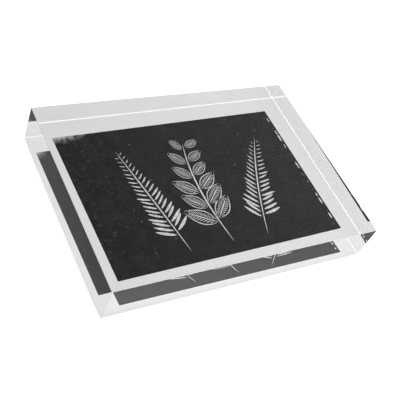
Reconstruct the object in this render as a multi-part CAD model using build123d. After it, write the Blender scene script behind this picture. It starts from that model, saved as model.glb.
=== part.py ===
from build123d import *
import os

# A clear acrylic picture block that lies on its back, with the picture facing up.
# X runs along the long side, Y towards the top of the picture and Z out of the picture.
# The origin is in the middle of the plane that the four bumpers stand on. Millimetres.

# Block: one-inch sheet cut to the 7 by 5 inch picture format and polished on every side
block_width = 177.8
block_height = 127.0
block_thickness = 25.4
eased_edge = 0.1  # fine flat that takes the sharpness off the polished edges
back_bevel = 0.4  # matt bevel round the back face, cut when the bonded layers are trimmed

# Layers bonded behind the block, listed from its back face down
layer_inset = 0.05  # the layers stop this far inside the bevel of the back face
optical_adhesive_thickness = 0.05
ink_thickness = 0.03
print_thickness = 0.25
backing_adhesive_thickness = 0.05
backing_thickness = 0.5

# Inked field of the print: about 6 by 4 inches, a little above the middle and not quite square to it
image_width = 153.6
image_height = 101.0
image_rise = 0.9
image_turn = 0.7  # degrees

# Bumpers: low elastomer domes, each on its own disc of adhesive
bumper_diameter = 8.0
bumper_height = 2.0
bumper_rim = 0.4
bumper_contact_diameter = 3.0
bumper_adhesive_diameter = 7.0
bumper_adhesive_thickness = 0.15
bumper_from_edge = 12.0  # from the block's sides to the middle of a bumper

# Heights of the undersides, stacked up from the plane that the bumpers stand on
bumper_adhesive_z = bumper_height
backing_z = bumper_adhesive_z + bumper_adhesive_thickness
backing_adhesive_z = backing_z + backing_thickness
print_z = backing_adhesive_z + backing_adhesive_thickness
ink_z = print_z + print_thickness
block_z = ink_z + optical_adhesive_thickness

# The layers share one outline, trimmed inside the bevel
layer_width = block_width - 2 * (back_bevel + layer_inset)
layer_height = block_height - 2 * (back_bevel + layer_inset)

STANDING = (Align.CENTER, Align.CENTER, Align.MIN)


def acrylic_block():
    blank = Box(block_width, block_height, block_thickness, align=STANDING)
    back_face = blank.faces().sort_by(Axis.Z)[0]
    trimmed = chamfer(back_face.edges(), back_bevel)
    front_face = trimmed.faces().sort_by(Axis.Z)[-1]
    polished_edges = front_face.edges() + trimmed.edges().filter_by(Axis.Z)
    return Pos(0, 0, block_z) * chamfer(polished_edges, eased_edge)


def layer(thickness, underside):
    return Pos(0, 0, underside) * Box(layer_width, layer_height, thickness, align=STANDING)


def ink_layer():
    field = Box(image_width, image_height, ink_thickness, align=STANDING)
    return Pos(0, image_rise, ink_z) * Rot(0, 0, image_turn) * field


def optical_adhesive():
    # the film lies on the paper and wraps the ink, so its underside has a pocket for the ink
    return layer(optical_adhesive_thickness, ink_z) - ink_layer()


def bumper():
    radius = bumper_diameter / 2
    contact = bumper_contact_diameter / 2
    dome_height = bumper_height - bumper_rim
    dome = EllipticalCenterArc(
        (contact, dome_height), radius - contact, dome_height, start_angle=270, arc_size=90
    )
    rest = Polyline(
        (radius, dome_height), (radius, bumper_height), (0, bumper_height), (0, 0), (contact, 0)
    )
    half_section = Plane.XZ * make_face([dome, rest])
    return revolve(half_section, Axis.Z)


def bumper_adhesive_disc():
    disc = Cylinder(bumper_adhesive_diameter / 2, bumper_adhesive_thickness, align=STANDING)
    return Pos(0, 0, bumper_adhesive_z) * disc


def bumper_places():
    # named as the picture is seen from the front
    across = block_width / 2 - bumper_from_edge
    up = block_height / 2 - bumper_from_edge
    return {
        "lower_left": Pos(-across, -up, 0),
        "lower_right": Pos(across, -up, 0),
        "upper_left": Pos(-across, up, 0),
        "upper_right": Pos(across, up, 0),
    }


def pieces():
    made = {
        "acrylic_block": acrylic_block(),
        "optical_adhesive": optical_adhesive(),
        "ink_layer": ink_layer(),
        "print_sheet": layer(print_thickness, print_z),
        "backing_adhesive": layer(backing_adhesive_thickness, backing_adhesive_z),
        "backing_sheet": layer(backing_thickness, backing_z),
    }
    places = bumper_places()
    for corner, place in places.items():
        made["bumper_" + corner] = place * bumper()
    made["bumper_adhesive"] = Compound([place * bumper_adhesive_disc() for place in places.values()])
    return made


os.makedirs("parts", exist_ok=True)
for name, solid in pieces().items():
    export_step(solid, f"parts/{name}.step")
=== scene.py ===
import bmesh
import bpy
import math
from mathutils import Matrix, Vector


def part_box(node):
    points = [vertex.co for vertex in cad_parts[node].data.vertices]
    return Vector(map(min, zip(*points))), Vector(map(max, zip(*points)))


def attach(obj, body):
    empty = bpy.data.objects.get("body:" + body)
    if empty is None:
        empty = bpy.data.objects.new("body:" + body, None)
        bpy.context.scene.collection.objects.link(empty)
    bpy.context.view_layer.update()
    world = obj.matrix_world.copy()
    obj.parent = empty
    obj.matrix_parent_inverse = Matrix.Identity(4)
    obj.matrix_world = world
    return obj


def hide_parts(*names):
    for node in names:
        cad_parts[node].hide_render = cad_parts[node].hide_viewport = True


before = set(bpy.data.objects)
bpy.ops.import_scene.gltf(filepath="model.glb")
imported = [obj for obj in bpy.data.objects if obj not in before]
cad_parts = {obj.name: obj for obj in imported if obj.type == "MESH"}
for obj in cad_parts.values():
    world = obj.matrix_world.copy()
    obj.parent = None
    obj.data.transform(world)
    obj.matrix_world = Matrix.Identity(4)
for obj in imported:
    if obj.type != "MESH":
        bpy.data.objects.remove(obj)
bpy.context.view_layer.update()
mm = 0.001
blockLow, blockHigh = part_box("acrylic_block")
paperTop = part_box("print_sheet")[1].z
inkLow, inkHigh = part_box("ink_layer")
print("frame:", len(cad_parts), "nodes")


class Wire:  # one socket of a node tree; arithmetic on it adds the nodes
    def __init__(self, tree, socket=None):
        self.tree = tree
        self.socket = socket

    def node(self, kind, values=None, output=0, **settings):
        made = self.tree.nodes.new(kind)
        for name, value in settings.items():
            setattr(made, name, value)
        for name, value in (values or {}).items():
            for item in value if isinstance(value, list) else [value]:
                if isinstance(item, Wire):
                    self.tree.links.new(item.socket, made.inputs[name])
                else:
                    made.inputs[name].default_value = item
        return Wire(self.tree, made.outputs[output] if made.outputs else None)

    def output(self, name):
        return Wire(self.tree, self.socket.node.outputs[name])

    def math(self, operation, *values):
        vectors = self.socket.type in ("VECTOR", "RGBA")
        kind = "ShaderNodeVectorMath" if vectors else "ShaderNodeMath"
        return self.node(kind, dict(enumerate(values)), operation=operation)

    def __add__(self, other):
        return self.math("ADD", self, other)

    def __radd__(self, other):
        return self.math("ADD", other, self)

    def __sub__(self, other):
        return self.math("SUBTRACT", self, other)

    def __rsub__(self, other):
        return self.math("SUBTRACT", other, self)

    def __mul__(self, other):
        return self.math("MULTIPLY", self, other)

    def __rmul__(self, other):
        return self.math("MULTIPLY", other, self)

    def __truediv__(self, other):
        return self.math("DIVIDE", self, other)

    def __pow__(self, other):
        return self.math("POWER", self, other)

    def __abs__(self):
        return self.math("ABSOLUTE", self)

    def sine(self):
        return self.math("SINE", self)

    def atLeast(self, other):
        return self.math("MAXIMUM", self, other)

    def atMost(self, other):
        return self.math("MINIMUM", self, other)

    def scaled(self, factor):
        return self.node("ShaderNodeVectorMath", {0: self, "Scale": factor}, operation="SCALE")

    def part(self, axis):
        return self.node("ShaderNodeSeparateXYZ", {"Vector": self}, axis)

    def between(self, low, high):  # 0 at low, 1 at high, eased
        values = {"Value": self, "From Min": low, "From Max": high}
        return self.node("ShaderNodeMapRange", values, interpolation_type="SMOOTHSTEP")

    def vector(self, x, y, z):
        return self.node("ShaderNodeCombineXYZ", {"X": x, "Y": y, "Z": z})

    def mixed(self, first, second):  # two colours, mixed by this value
        values = {"Factor": self, "A": first, "B": second}
        return self.node("ShaderNodeMix", values, "Result", data_type="RGBA")


def grey(level):
    return (level, level, level, 1)


def addObject(name, data):
    made = bpy.data.objects.new(name, data)
    bpy.context.scene.collection.objects.link(made)
    return made


def newMaterial(name, **fixed):
    material = bpy.data.materials.new(name)
    material.use_nodes = True
    tree = material.node_tree
    shader = tree.nodes["Principled BSDF"]
    for label, value in fixed.items():
        shader.inputs[label.replace("_", " ")].default_value = value
    place = Wire(tree).node("ShaderNodeTexCoord", output="Object")
    return material, place, shader


def plug(wire, shader, name):
    wire.tree.links.new(wire.socket, shader.inputs[name])


def noise(place, grain, detail=3.0, roughness=0.55):
    values = {"Vector": place, "Scale": 1 / grain, "Detail": detail, "Roughness": roughness}
    return place.node("ShaderNodeTexNoise", values)


def bump(height, shader, depth):
    values = {"Height": height, "Distance": depth, "Strength": 1.0}
    plug(height.node("ShaderNodeBump", values), shader, "Normal")


# Clear acrylic: water white, its polish a little uneven where it was wiped
acrylicLook = {
    "clear": (0.995, 0.997, 0.997, 1),
    "index": 1.476,  # fitted to the photograph together with the camera
    "polish": 0.008,
    "wiped": 0.02,
    "wipe": (60 * mm, 9 * mm, 9 * mm),
    "wipeTurn": 0.5,
    "wipeRange": (0.45, 0.75),
}


def acrylicMaterial():
    look = acrylicLook
    material, place, shader = newMaterial(
        "polished_acrylic", Base_Color=look["clear"], Transmission_Weight=1.0, IOR=look["index"]
    )
    aligned = place.node("ShaderNodeMapping", {"Vector": place, "Rotation": (0, 0, look["wipeTurn"])})
    finer = tuple(1 / size for size in look["wipe"])
    along = place.node("ShaderNodeMapping", {"Vector": aligned, "Scale": finer})
    smears = noise(along, 1.0, detail=2.0, roughness=0.5)
    plug(look["polish"] + look["wiped"] * smears.between(*look["wipeRange"]), shader, "Roughness")
    return material


# Matt cut: the trimmed bevel and the eased edges, ground acrylic that is frosty from outside and
# lets most of the light through from inside
mattCutLook = {
    "ground": grey(0.95),
    "index": 1.49,
    "through": 0.25,
    "grain": 0.3 * mm,
    "smooth": 0.45,
    "coarse": 0.65,
    "frost": 0.7,
}


def mattCutMaterial():
    look = mattCutLook
    material, place, shader = newMaterial(
        "matt_cut_edge", Base_Color=look["ground"], Transmission_Weight=look["through"], IOR=look["index"]
    )
    grain = noise(place, look["grain"], detail=2.0)
    plug(look["smooth"] + (look["coarse"] - look["smooth"]) * grain, shader, "Roughness")
    passing = place.node("ShaderNodeBsdfTransparent", {"Color": grey(1)})
    inside = place.node("ShaderNodeNewGeometry", output="Backfacing")
    frosted = 1 - inside * (1 - look["frost"] * grain)
    surface = Wire(place.tree, shader.outputs[0])
    mixed = place.node("ShaderNodeMixShader", {0: frosted, 1: passing, 2: surface})
    plug(mixed, place.tree.nodes["Material Output"], "Surface")
    return material


# Print paper: smooth white stock with a little fibre and a painted sheen (base colour lighter at a slant),
# greyed by stray ink in the inked field, which shows in the cuts
paperLook = {
    "dark": grey(0.8),
    "light": grey(0.86),
    "toneRange": (0.2, 0.8),
    "fibre": 0.35 * mm,
    "fibreShare": 0.7,
    "fibreDepth": 0.01 * mm,
    "cloud": 12 * mm,
    # painted sheen: the base colour the paper turns to where it is seen at a slant
    "paintedSheen": grey(0.985),
    "paintedSheenFacing": (0.2, 0.5),
    "stray": grey(0.4),
    "strayGrain": 0.9 * mm,
    "strayRange": (0.3, 0.75),
    "strayInset": (2.1 * mm, 2.4 * mm),
    "straySoft": 0.3 * mm,
}


def paperMaterial():
    look = paperLook
    material, place, shader = newMaterial("print_paper", Roughness=0.9, Specular_IOR_Level=0.0)
    fibre = noise(place, look["fibre"], detail=4.0, roughness=0.65)
    cloud = noise(place, look["cloud"], detail=2.0)
    tone = look["fibreShare"] * fibre + (1 - look["fibreShare"]) * cloud
    colour = tone.between(*look["toneRange"]).mixed(look["dark"], look["light"])
    # painted sheen: the base colour is lightened by the viewing angle, not by a sheen lobe
    facing = place.node("ShaderNodeLayerWeight", {"Blend": 0.5}, "Facing")
    colour = facing.between(*look["paintedSheenFacing"]).mixed(colour, look["paintedSheen"])

    stray = noise(place, look["strayGrain"], detail=2.0).between(*look["strayRange"])
    middle, reach = (inkLow + inkHigh) / 2, (inkHigh - inkLow) / 2
    for axis, inset in enumerate(look["strayInset"]):
        edge = reach[axis] - inset
        outside = abs(place.part(axis) - middle[axis]).between(edge, edge + look["straySoft"])
        stray = stray * (1 - outside)
    plug(stray.mixed(colour, look["stray"]), shader, "Base Color")
    bump(fibre, shader, look["fibreDepth"])
    return material


# Relief ink: black, a little mottled, with pale specks, a salty left side and a thin corner
inkLook = {
    "black": grey(0.007),
    "mottled": grey(0.015),
    "mottleRange": (0.38, 0.66),
    "blotch": 7 * mm,
    "blotchShare": 0.82,
    "grain": 1.1 * mm,
    "salt": grey(0.03),
    "saltGrain": 2 * mm,
    "saltRange": (0.54, 0.7),
    "saltReach": 55 * mm,
    "speck": grey(0.1),
    "speckSpacing": 15 * mm,
    "speckSize": 0.9 * mm,
    "speckCore": 0.3,
    "speckRange": (0.5, 0.95),
    "thin": grey(0.5),
    "thinGrain": 4.5 * mm,
    "thinRange": (0.36, 0.66),
    "thinLength": 34 * mm,
    "thinHeight": 8 * mm,
    "thinFade": (0.1, 1.0),
}


def inkMaterial(corner):
    look = inkLook
    material, place, shader = newMaterial("relief_ink", Roughness=0.75, Specular_IOR_Level=0.0)
    inward = place - corner
    right, down = inward.part(0), 0 - inward.part(1)
    blotch = noise(place, look["blotch"], detail=4.0, roughness=0.6)
    grain = noise(place, look["grain"])
    mottle = look["blotchShare"] * blotch + (1 - look["blotchShare"]) * grain
    colour = mottle.between(*look["mottleRange"]).mixed(look["black"], look["mottled"])

    salt = noise(place, look["saltGrain"], detail=2.0).between(*look["saltRange"])
    salt = salt * (1 - right.between(0.0, look["saltReach"]))
    colour = salt.mixed(colour, look["salt"])

    cells = {"Vector": place, "Scale": 1 / look["speckSpacing"]}
    spots = place.node("ShaderNodeTexVoronoi", cells, voronoi_dimensions="2D")
    chance = place.node("ShaderNodeSeparateColor", {"Color": spots.output("Color")})
    size = look["speckSize"] / look["speckSpacing"]
    speck = (1 - spots.between(size * look["speckCore"], size)) * chance.between(*look["speckRange"])
    colour = speck.mixed(colour, look["speck"])

    fade = right.atLeast(0.0) / look["thinLength"] + down.atLeast(0.0) / look["thinHeight"]
    wiped = noise(place, look["thinGrain"], detail=1.5, roughness=0.45).between(*look["thinRange"])
    thin = (1 - fade.between(*look["thinFade"])) * wiped
    plug(thin.mixed(colour, look["thin"]), shader, "Base Color")
    return material


# White vinyl backing: satin, with a fine pebbled grain
backingLook = {
    "dark": grey(0.8),
    "light": grey(0.88),
    "pebble": 0.8 * mm,
    "pebbleDepth": 0.05 * mm,
    "patch": 14 * mm,
    "satin": 0.38,
    "duller": 0.2,
}


def backingMaterial():
    look = backingLook
    material, place, shader = newMaterial("white_vinyl")
    pebble = noise(place, look["pebble"], detail=2.0, roughness=0.5)
    plug(pebble.mixed(look["dark"], look["light"]), shader, "Base Color")
    plug(look["satin"] + look["duller"] * noise(place, look["patch"]), shader, "Roughness")
    bump(pebble, shader, look["pebbleDepth"])
    return material


# Adhesive: thin milky film
adhesiveLook = {"dark": (0.7, 0.7, 0.68, 1), "light": (0.8, 0.8, 0.78, 1), "milk": 0.6 * mm}


def adhesiveMaterial():
    look = adhesiveLook
    material, place, shader = newMaterial("adhesive_film", Roughness=0.35)
    milk = noise(place, look["milk"], detail=2.0)
    plug(milk.mixed(look["dark"], look["light"]), shader, "Base Color")
    return material


# Bumper elastomer: clear and slightly hazy
elastomerLook = {"clear": (0.95, 0.96, 0.96, 1), "grain": 0.5 * mm, "smooth": 0.08, "haze": 0.14}


def elastomerMaterial():
    look = elastomerLook
    material, place, shader = newMaterial(
        "clear_elastomer", Base_Color=look["clear"], Transmission_Weight=0.9, IOR=1.5
    )
    plug(look["smooth"] + look["haze"] * noise(place, look["grain"]), shader, "Roughness")
    return material


materials = {
    "acrylic": acrylicMaterial(),
    "mattCut": mattCutMaterial(),
    "paper": paperMaterial(),
    "backing": backingMaterial(),
    "adhesive": adhesiveMaterial(),
    "elastomer": elastomerMaterial(),
}
print("materials:", len(materials))

plainSheets = {"print_sheet": "paper", "backing_sheet": "backing", "backing_adhesive": "adhesive"}
for node, finish in plainSheets.items():
    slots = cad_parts[node].data.materials
    slots.clear()
    slots.append(materials[finish])


def band(mesh, below, above):  # faces between two rings of points
    count = len(below)
    faces = []
    for i in range(count):
        j = (i + 1) % count
        faces.append(mesh.faces.new((below[i], below[j], above[j], above[i])))
    return faces


def pieceFrom(name, mesh, *finishes):
    bmesh.ops.recalc_face_normals(mesh, faces=mesh.faces)
    data = bpy.data.meshes.new(name)
    mesh.to_mesh(data)
    mesh.free()
    for finish in finishes:
        data.materials.append(materials[finish])
    return addObject(name, data)


# Clear block and the film that bonds it: one clear piece, so that no air lies over the print
clearBlock = {"easedEdge": 0.1 * mm, "backBevel": 0.4 * mm, "filmInset": 0.06 * mm, "bedded": 0.01 * mm}


def makeClearBlock():
    mesh = bmesh.new()
    eased, bevel = clearBlock["easedEdge"], clearBlock["backBevel"]

    def ring(inset, height):  # rectangle with its corners cut
        x, y = blockHigh.x - inset, blockHigh.y - inset
        points = []
        for sx, sy in ((1, 1), (-1, 1), (-1, -1), (1, -1)):
            cuts = [(sx * x, sy * (y - eased)), (sx * (x - eased), sy * y)]
            points += cuts if sx * sy > 0 else cuts[::-1]
        return [mesh.verts.new((px, py, height)) for px, py in points]

    film = bevel + clearBlock["filmInset"]
    rings = [
        ring(film, paperTop - clearBlock["bedded"]),
        ring(film, blockLow.z),
        ring(bevel, blockLow.z),
        ring(0, blockLow.z + bevel),
        ring(0, blockHigh.z - eased),
        ring(eased, blockHigh.z),
    ]
    sides = 3  # index of the band between the bevel and the eased top edge
    for index, (below, above) in enumerate(zip(rings, rings[1:])):
        for i, face in enumerate(band(mesh, below, above)):
            cornerFlat = i % 2 == 0
            face.material_index = 0 if index == sides and not cornerFlat else 1
    mesh.faces.new(rings[-1])
    mesh.faces.new(rings[0][::-1])
    return pieceFrom("clear_block", mesh, "acrylic", "mattCut")


block = makeClearBlock()
block.visible_shadow = False  # lamps reach the print straight through the clear block
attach(block, "root")
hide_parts("acrylic_block", "optical_adhesive")
print("clear block:", len(block.data.polygons), "faces")


def newTree(name, inputs):
    tree = bpy.data.node_groups.new(name, "GeometryNodeTree")
    for label, kind in inputs.items():
        tree.interface.new_socket(label, in_out="INPUT", socket_type="NodeSocket" + kind)
    tree.interface.new_socket("Geometry", in_out="OUTPUT", socket_type="NodeSocketGeometry")
    start = tree.nodes.new("NodeGroupInput")
    return Wire(tree), {label: Wire(tree, start.outputs[label]) for label in inputs}


def endTree(wire, geometry):
    wire.node("NodeGroupOutput", {"Geometry": geometry})
    return wire.tree


def grow(name, tree, sizes):  # runs a tree once and keeps the plain mesh
    piece = addObject(name, bpy.data.meshes.new(name))
    modifier = piece.modifiers.new("grow", "NODES")
    modifier.node_group = tree
    for item in tree.interface.items_tree:
        if item.in_out == "INPUT":
            modifier[item.identifier] = sizes[item.name]
    bpy.context.view_layer.update()
    evaluated = piece.evaluated_get(bpy.context.evaluated_depsgraph_get())
    mesh = bpy.data.meshes.new_from_object(evaluated)
    piece.modifiers.remove(modifier)
    piece.data = mesh
    return piece


# Relief print: an inked sheet with gouge cuts through it, where the paper shows
gouge = {
    "fullness": 0.35,  # less is blunter, more is more pointed
    "points": {"edge": 30, "midrib": 22, "vein": 12, "blade": 16, "stem": 60, "missed": 10},
}


def cutTree():  # closed outline of one cut along a path, blunt in the middle and pointed at its ends
    wire, given = newTree("gouge_cut", {"Path": "Geometry", "Width": "Float", "Points": "Int"})
    circle = {"Resolution": given["Points"], "Radius": 1.0}
    ring = wire.node("GeometryNodeCurvePrimitiveCircle", circle)
    place = wire.node("GeometryNodeInputPosition")
    along = (1 - place.part(0)) / 2
    side = place.part(1) * abs(place.part(1)) ** gouge["fullness"]
    values = {"Curves": given["Path"], "Factor": along}
    sample = wire.node("GeometryNodeSampleCurve", values, use_all_curves=True)
    tangent = sample.output("Tangent")
    across = wire.vector(0 - tangent.part(1), tangent.part(0), 0.0)
    spot = sample.output("Position") + across.scaled(side * given["Width"] / 2)
    moved = wire.node("GeometryNodeSetPosition", {"Geometry": ring, "Position": spot})
    return endTree(wire, moved)


gougeCut = cutTree()


def cut(wire, path, width, kind):
    values = {"Path": path, "Width": width, "Points": gouge["points"][kind]}
    return wire.node("GeometryNodeGroup", values, node_tree=gougeCut)


def joined(wire, parts):
    return wire.node("GeometryNodeJoinGeometry", {"Geometry": parts})


def straight(wire, start, end):
    return wire.node("GeometryNodeCurvePrimitiveLine", {"Start": start, "End": end})


def quadratic(wire, start, middle, end, resolution=16):
    values = {"Start": start, "Middle": middle, "End": end, "Resolution": resolution}
    return wire.node("GeometryNodeCurveQuadraticBezier", values)


def resampled(wire, curve, count):
    return wire.node("GeometryNodeResampleCurve", {"Curve": curve, "Count": count})


def pointsOn(wire, curve, count):
    return wire.node("GeometryNodeCurveToPoints", {"Curve": curve, "Count": count})


def offsetBy(wire, geometry, offset):
    return wire.node("GeometryNodeSetPosition", {"Geometry": geometry, "Offset": offset})


def turned(wire, angle):
    return wire.node("FunctionNodeEulerToRotation", {"Euler": wire.vector(0.0, 0.0, angle)})


def randomly(wire, least, most, seed):
    return wire.node("FunctionNodeRandomValue", {"Min": least, "Max": most, "Seed": seed}, "Value")


def repeated(wire, points, shape, rotation, scale):
    values = {"Points": points, "Instance": shape, "Rotation": rotation, "Scale": scale}
    return wire.node("GeometryNodeInstanceOnPoints", values)


# Shares of the leaf's length, apart from the counts, its fullness and the lean of the veins
veinedLeaf = {
    "halfWidth": 0.2,
    "fullness": 0.85,  # less puts the widest place nearer to the stem
    "outline": 0.036,
    "edge": (0.03, 0.99),
    "edgePoints": 20,
    "edgeGap": 0.022,
    "midrib": 0.042,
    "midribBow": 0.008,
    "midribEnd": 0.9,
    "vein": 0.026,
    "veins": 9,
    "veinRoots": ((0.13, 0.034), (0.8, 0.028)),
    "veinAhead": 0.07,
    "veinReach": 0.98,
    "veinBow": 0.06,
    "lean": 0.72,
}


def veinedLeafTree():  # leaf of length 1 along X: two edge cuts, a midrib and slanting veins
    size = veinedLeaf
    wire, given = newTree("veined_leaf", {"Half Width": "Float", "Veins": "Int"})
    edgeStart, edgeEnd = size["edge"]
    (firstX, firstY), (lastX, lastY) = size["veinRoots"]
    parts = []
    for side in (1, -1):
        edge = resampled(wire, straight(wire, (edgeStart, 0, 0), (edgeEnd, 0, 0)), size["edgePoints"])
        share = wire.node("GeometryNodeSplineParameter")
        swell = (share ** size["fullness"] * math.pi).sine()
        offset = wire.vector(0.0, (swell * given["Half Width"] + size["edgeGap"]) * side, 0.0)
        parts.append(cut(wire, offsetBy(wire, edge, offset), size["outline"], "edge"))

        spine = straight(wire, (firstX, firstY * side, 0), (lastX, lastY * side, 0))
        roots = pointsOn(wire, spine, given["Veins"])
        along = wire.node("GeometryNodeInputPosition").part(0)
        ahead = (along + size["veinAhead"]) ** size["fullness"] * math.pi
        length = ahead.sine() * given["Half Width"] * size["veinReach"]
        bowed = quadratic(wire, (0, 0, 0), (0.5, -size["veinBow"] * side, 0), (1, 0, 0))
        stroke = cut(wire, bowed, 1.0, "vein")
        scale = wire.vector(length, size["vein"], 1.0)
        parts.append(repeated(wire, roots, stroke, turned(wire, size["lean"] * side), scale))
    rib = quadratic(wire, (0, 0, 0), (0.5, size["midribBow"], 0), (size["midribEnd"], 0, 0))
    parts.append(cut(wire, rib, size["midrib"], "midrib"))
    return endTree(wire, joined(wire, parts))


fernBlade = {"halfWidth": 0.075, "start": 0.04, "bow": 0.05}


def bladeTree():  # fern leaflet of length 1 along X: a single cut, bowed a little
    wire, given = newTree("fern_blade", {"Half Width": "Float"})
    path = quadratic(wire, (fernBlade["start"], 0, 0), (0.5, fernBlade["bow"], 0), (1, 0, 0))
    return endTree(wire, cut(wire, path, given["Half Width"] * 2, "blade"))


# Shares of the stem's length, of a leaf's own length and of the stem's width
sprigHabit = {"lag": 0.03, "leafyEnd": 0.93, "uneven": (0.92, 1.08), "leafGap": 0.9}
sprigInputs = {
    "Leaf": "Geometry",
    "Start": "Vector",
    "Middle": "Vector",
    "End": "Vector",
    "Leaves": "Int",
    "Length": "Float",
    "Taper": "Float",
    "Spread": "Float",
    "Stem": "Float",
    "Bare": "Float",
    "Seed": "Int",
}


def sprigTree():  # stem with leaves on both sides that get smaller towards its tip
    habit = sprigHabit
    wire, given = newTree("sprig", sprigInputs)
    stem = quadratic(wire, given["Start"], given["Middle"], given["End"], resolution=40)
    parts = [cut(wire, stem, given["Stem"], "stem")]
    for side in (1, -1):
        lag = habit["lag"] if side < 0 else 0.0
        values = {"Curve": stem, "Start": given["Bare"] + lag, "End": habit["leafyEnd"] + lag}
        leafy = wire.node("GeometryNodeTrimCurve", values)
        points = pointsOn(wire, leafy, given["Leaves"])
        tangent = points.output("Tangent")
        ahead, up = tangent.part(0), tangent.part(1)
        heading = up.math("ARCTAN2", up, ahead)
        step = wire.node("GeometryNodeInputIndex") / (given["Leaves"] - 1)
        chance = randomly(wire, *habit["uneven"], given["Seed"] + side)
        length = given["Length"] * (1 - given["Taper"] * step) * chance
        gap = wire.vector(0 - up, ahead, 0.0).scaled(given["Stem"] * (habit["leafGap"] * side))
        points = offsetBy(wire, points, gap)
        angle = turned(wire, heading + side * given["Spread"] * chance)
        mirrored = wire.vector(length, length * side, length)
        parts.append(repeated(wire, points, given["Leaf"], angle, mirrored))
    return endTree(wire, joined(wire, parts))


# Lengths, stem widths and places of the sprigs in millimetres, places from the middle of the field
veinedSprig = {
    "leaf": "veined",
    "leaves": 6,
    "length": 21,
    "taper": 0.45,
    "spread": 0.86,
    "stem": 1.1,
    "bare": 0.2,
}
fernSprig = {
    "leaf": "blade",
    "leaves": 19,
    "length": 13,
    "taper": 0.8,
    "spread": 1.0,
    "stem": 0.9,
    "bare": 0.16,
}
sprigs = [
    {**veinedSprig, "start": (1, -43), "middle": (-7, 2), "end": (3, 33), "seed": 3},
    {**fernSprig, "start": (-28, -43), "middle": (-35, -4), "end": (-43, 34), "seed": 5},
    {**fernSprig, "start": (25, -43), "middle": (37, -4), "end": (56, 29), "seed": 8, "leaves": 18},
]
missedSpots = {
    "count": 15,
    "fromEdge": 1.9 * mm,
    "reach": (-0.42, 0.4),  # shares of the field's height
    "length": 7 * mm,
    "width": 1.25 * mm,
    "thinnest": 0.2 * mm,
    "bow": 0.02,
    "chance": (-0.25, 1.0),
    "least": 0.08,
    "seed": 12,
}
reliefPrint = {
    "turn": math.radians(0.7),
    "skew": math.radians(0.33),  # the hand-cut field is not quite square
    "shift": -0.15 * mm,
    "spread": 0.15 * mm,
    "borderPoints": 420,
    "raggedEdge": 0.22 * mm,
    "raggedScale": 700.0,
    "liftOffPaper": 0.002 * mm,
    "merge": 0.002 * mm,
}
reliefInputs = {
    "Width": "Float",
    "Height": "Float",
    "Thickness": "Float",
    "Centre": "Vector",
    "Turn": "Float",
    "Ragged": "Float",
    "Skew": "Float",
    "Ink": "Material",
}


def inkedField():  # width and height of the field, from its turned box in the frame
    across, up = inkHigh.x - inkLow.x, inkHigh.y - inkLow.y
    c, s = math.cos(reliefPrint["turn"]), math.sin(reliefPrint["turn"])
    return (across * c - up * s) / (c * c - s * s), (up * c - across * s) / (c * c - s * s)


def raggedBorder(wire, given, place):
    values = {"Width": given["Width"], "Height": given["Height"]}
    border = wire.node("GeometryNodeCurvePrimitiveQuadrilateral", values)
    border = resampled(wire, border, reliefPrint["borderPoints"])
    values = {"Vector": place, "Scale": reliefPrint["raggedScale"], "Detail": 3.0}
    shift = wire.node("ShaderNodeTexNoise", values, "Color") - (0.5, 0.5, 0.5)
    flat = wire.vector(shift.part(0), shift.part(1), 0.0).scaled(given["Ragged"])
    return offsetBy(wire, border, flat)


def sprigCuts(wire):
    leafGroups = {
        "veined": (veinedLeafTree(), {"Half Width": veinedLeaf["halfWidth"], "Veins": veinedLeaf["veins"]}),
        "blade": (bladeTree(), {"Half Width": fernBlade["halfWidth"]}),
    }
    leaves = {}
    for kind, (tree, values) in leafGroups.items():
        leaves[kind] = wire.node("GeometryNodeGroup", values, node_tree=tree)
    sprig = sprigTree()
    cuts = []
    for row in sprigs:
        values = {}
        for key, value in row.items():
            if key == "leaf":
                value = leaves[value]
            elif key in ("length", "stem"):
                value = value * mm
            elif key in ("start", "middle", "end"):
                value = (value[0] * mm, value[1] * mm, 0)
            values[key.title()] = value
        cuts.append(wire.node("GeometryNodeGroup", values, node_tree=sprig))
    return cuts


def missedCuts(wire, given):
    size = missedSpots
    edgeX = given["Width"] / 2 - size["fromEdge"]
    low, high = (wire.vector(edgeX, given["Height"] * share, 0.0) for share in size["reach"])
    spots = pointsOn(wire, straight(wire, low, high), size["count"])
    long = randomly(wire, *size["chance"], size["seed"]).atLeast(size["least"])
    dash = cut(wire, quadratic(wire, (0, 0, 0), (0.5, size["bow"], 0), (1, 0, 0)), 1.0, "missed")
    scale = wire.vector(long * size["length"], long * size["width"] + size["thinnest"], 1.0)
    return repeated(wire, spots, dash, turned(wire, math.pi / 2), scale)


def reliefTree():
    wire, given = newTree("relief_print", reliefInputs)
    place = wire.node("GeometryNodeInputPosition")
    cuts = [raggedBorder(wire, given, place)] + sprigCuts(wire) + [missedCuts(wire, given)]
    outlines = wire.node("GeometryNodeRealizeInstances", {"Geometry": joined(wire, cuts)})
    sheet = wire.node("GeometryNodeFillCurve", {"Curve": outlines}, mode="TRIANGLES")
    values = {"Mesh": sheet, "Offset": (0, 0, 1), "Offset Scale": given["Thickness"], "Individual": False}
    raised = wire.node("GeometryNodeExtrudeMesh", values)
    under = wire.node("GeometryNodeFlipFaces", {"Mesh": sheet})
    values = {"Geometry": joined(wire, [raised, under]), "Distance": reliefPrint["merge"]}
    solid = wire.node("GeometryNodeMergeByDistance", values)
    pull = wire.vector(place.part(1) * given["Skew"], place.part(0) * given["Skew"], 0.0).scaled(-1.0)
    solid = offsetBy(wire, solid, pull)
    values = {"Geometry": solid, "Translation": given["Centre"], "Rotation": turned(wire, given["Turn"])}
    placed = wire.node("GeometryNodeTransform", values)
    real = wire.node("GeometryNodeRealizeInstances", {"Geometry": placed})
    inked = wire.node("GeometryNodeSetMaterial", {"Geometry": real, "Material": given["Ink"]})
    return endTree(wire, inked)


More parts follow.
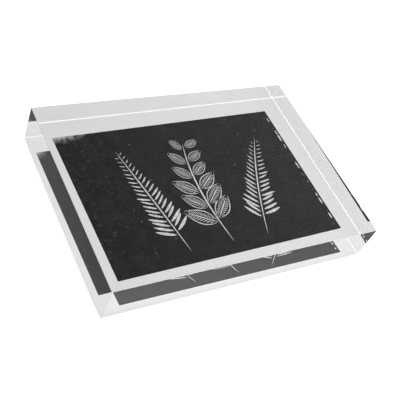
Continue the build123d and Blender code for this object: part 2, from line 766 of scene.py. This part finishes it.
fieldWidth, fieldHeight = inkedField()
inkCentre = (inkLow + inkHigh) / 2
inkCorner = (inkCentre.x - fieldWidth / 2, inkCentre.y + fieldHeight / 2, inkHigh.z)
liftOffPaper = reliefPrint["liftOffPaper"]
printed = grow(
    "relief_print",
    reliefTree(),
    {
        "Width": fieldWidth + 2 * reliefPrint["spread"],
        "Height": fieldHeight + 2 * reliefPrint["spread"],
        "Thickness": inkHigh.z - inkLow.z - liftOffPaper,
        "Centre": (inkCentre.x + reliefPrint["shift"], inkCentre.y, inkLow.z + liftOffPaper),
        "Turn": reliefPrint["turn"],
        "Ragged": reliefPrint["raggedEdge"],
        "Skew": reliefPrint["skew"],
        "Ink": inkMaterial(inkCorner),
    },
)
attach(printed, "root")
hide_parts("ink_layer")
print("relief print:", len(printed.data.polygons), "faces")

# Bumpers: low clear domes with a small contact flat, each bedded on its disc of adhesive
bumperShape = {"contact": 1.5 * mm, "rim": 0.4 * mm, "steps": 12, "around": 64}
bumperDisc = {"bedded": 0.015 * mm, "squeezed": 0.06 * mm}


def turnShape(mesh, centre, profile):  # pairs of radius and height, turned about an upright line
    around = bumperShape["around"]
    rings = []
    for radius, height in profile:
        ring = []
        for index in range(around):
            angle = 2 * math.pi * index / around
            x, y = centre.x + radius * math.cos(angle), centre.y + radius * math.sin(angle)
            ring.append(mesh.verts.new((x, y, height)))
        rings.append(ring)
    for below, above in zip(rings, rings[1:]):
        for face in band(mesh, below, above):
            face.smooth = True
    for cap in (rings[0][::-1], rings[-1]):
        for edge in mesh.faces.new(cap).edges:
            edge.smooth = False


def makeBumper(node):
    size = bumperShape
    low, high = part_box(node)
    radius = (high.x - low.x) / 2
    dome = high.z - low.z - size["rim"]
    profile = []
    for step in range(size["steps"] + 1):
        turn = math.pi / 2 * step / size["steps"]
        across = size["contact"] + (radius - size["contact"]) * math.sin(turn)
        profile.append((across, low.z + dome * (1 - math.cos(turn))))
    profile.append((radius, high.z))
    mesh = bmesh.new()
    turnShape(mesh, (low + high) / 2, profile)
    return pieceFrom(node + "_dome", mesh, "elastomer")


def makeDiscs(bumpers):
    size = bumperDisc
    low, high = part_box("bumper_adhesive")
    centres = []
    for node in bumpers:
        bumperLow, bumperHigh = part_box(node)
        centres.append((bumperLow + bumperHigh) / 2)
    radius = high.x - max(centre.x for centre in centres)
    profile = [
        (radius - size["squeezed"], low.z - size["bedded"]),
        (radius, (low.z + high.z) / 2),
        (radius - size["squeezed"], high.z),
    ]
    mesh = bmesh.new()
    for centre in centres:
        turnShape(mesh, centre, profile)
    return pieceFrom("adhesive_discs", mesh, "adhesive")


bumpers = [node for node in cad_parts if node.startswith("bumper") and node != "bumper_adhesive"]
for node in bumpers:
    dome = makeBumper(node)
    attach(dome, "root")
    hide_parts(node)
discs = makeDiscs(bumpers)
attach(discs, "root")
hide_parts("bumper_adhesive")
print("bumpers:", len(bumpers), "domes on discs")

# Stage: white floor that keeps the shadow under the block, with a painted pool of light in front of it that
# only mirrored rays see, white surroundings
stage = {
    "floorSize": 8.0,
    "floorAlbedo": 0.45,
    "lift": 0.88,  # glow that makes the lit floor white for the camera
    # painted pool of light on the floor in front of the block, seen only mirrored in its near side,
    # stronger towards the left
    "paintedPoolFront": 0.11,  # glow of the floor in front, as mirrored in the near side
    "paintedPoolLeft": 0.4,  # and more of it towards the left
    # painted contact shade: the painted pool fades out within these distances of the block's near side
    "paintedContactShade": (1 * mm, 6 * mm),
    "leftEnd": -0.1,
    "rightEnd": 0.12,
    "fadeToWhite": (0.35, 0.9),  # distances from the middle of the floor
}


def emptyTree(owner):  # node tree of a material or world, cleared
    owner.use_nodes = True
    owner.node_tree.nodes.clear()
    return Wire(owner.node_tree)


def cameraPath(wire):  # 1 for a camera ray, also after it has passed into clear pieces
    path = wire.node("ShaderNodeLightPath")
    scattered = path.output("Diffuse Depth").atMost(1.0)
    entered = path.output("Transmission Depth").atMost(1.0)
    through = entered * (1 - scattered)
    return through.atLeast(path.output("Is Camera Ray"))


def floorMaterial():
    material = bpy.data.materials.new("floor_paper")
    wire = emptyTree(material)
    seen = cameraPath(wire)
    mirrored = wire.node("ShaderNodeLightPath", output="Is Glossy Ray")
    place = wire.node("ShaderNodeTexCoord", output="Object")
    distance = wire.node("ShaderNodeVectorMath", {0: place}, "Value", operation="LENGTH")
    far = distance.between(*stage["fadeToWhite"])
    # painted pool of light with painted contact shade next to the block, added for mirrored rays only
    front = (blockLow.y - place.part(1)).between(*stage["paintedContactShade"])
    leftward = 1 - place.part(0).between(stage["leftEnd"], stage["rightEnd"])
    glow = front * (stage["paintedPoolFront"] + stage["paintedPoolLeft"] * leftward)
    lift = seen * stage["lift"] + mirrored * (1 - seen) * glow
    paper = wire.node("ShaderNodeBsdfDiffuse", {"Color": grey(stage["floorAlbedo"])})
    lifted = wire.node("ShaderNodeEmission", {"Strength": lift})
    lit = wire.node("ShaderNodeAddShader", {0: paper, 1: lifted})
    white = wire.node("ShaderNodeEmission", {"Strength": 1.0})
    mixed = wire.node("ShaderNodeMixShader", {0: far * seen, 1: lit, 2: white})
    wire.node("ShaderNodeOutputMaterial", {"Surface": mixed})
    return material


def makeFloor():
    half = stage["floorSize"] / 2
    corners = [(-half, -half, 0), (half, -half, 0), (half, half, 0), (-half, half, 0)]
    data = bpy.data.meshes.new("floor")
    data.from_pydata(corners, [], [(0, 1, 2, 3)])
    data.materials.append(floorMaterial())
    floor = addObject("floor", data)


studio = {"even": 0.13, "right": 1.15, "rightFrom": 0.2}


def makeWorld():
    world = bpy.data.worlds.new("studio")
    bpy.context.scene.world = world
    wire = emptyTree(world)
    seen = cameraPath(wire)
    heading = wire.node("ShaderNodeTexCoord", output="Generated")
    rightward = heading.part(0) - studio["rightFrom"]
    level = studio["even"] + studio["right"] * rightward.atLeast(0.0)
    values = {"Color": grey(1), "Strength": level + seen * (1 - level)}
    light = wire.node("ShaderNodeBackground", values)
    wire.node("ShaderNodeOutputWorld", {"Surface": light})
    world.cycles.sampling_method = "NONE"


lampTarget = (0, 0, 0.02)
lamps = {
    "front_softbox": {"at": (0.12, -0.6, 0.35), "size": 0.5, "power": 4.5},
    "back_softbox": {"at": (0.1, 0.6, 0.35), "size": 0.5, "power": 3.55},
}


def makeLamp(name, place, size, power):
    data = bpy.data.lights.new(name, "AREA")
    data.shape = "SQUARE"
    data.size = size
    data.energy = power
    lamp = addObject(name, data)
    lamp.location = place
    lamp.visible_transmission = False
    lamp.visible_glossy = False  # the polished faces don't mirror the lamp
    lamp.rotation_euler = (Vector(lampTarget) - Vector(place)).to_track_quat("-Z", "Y").to_euler()


makeFloor()
makeWorld()
for name, row in lamps.items():
    makeLamp(name, row["at"], row["size"], row["power"])
print("stage: floor, world and", len(lamps), "lamps")

# Camera fitted to the photograph: place and aim in millimetres from the middle of the block's back face
view = {"from": (-232.12, -222.44, 333.25), "at": (1.76, -2.16, 0.0), "roll": 0.4772, "lens": 67.77}


def makeCamera():
    base = Vector((0, 0, blockLow.z))
    eye = base + Vector(view["from"]) * mm
    ahead = (base + Vector(view["at"]) * mm - eye).normalized()
    level = ahead.cross(Vector((0, 0, 1))).normalized()
    rise = level.cross(ahead)
    c, s = math.cos(view["roll"]), math.sin(view["roll"])
    right, up = level * c + rise * s, rise * c - level * s
    data = bpy.data.cameras.new("camera")
    data.sensor_width = 36.0
    data.lens = view["lens"]
    camera = addObject("camera", data)
    camera.matrix_world = Matrix.Translation(eye) @ Matrix((right, up, -ahead)).transposed().to_4x4()
    bpy.context.scene.camera = camera


makeCamera()
bpy.context.scene.view_settings.view_transform = "Standard"
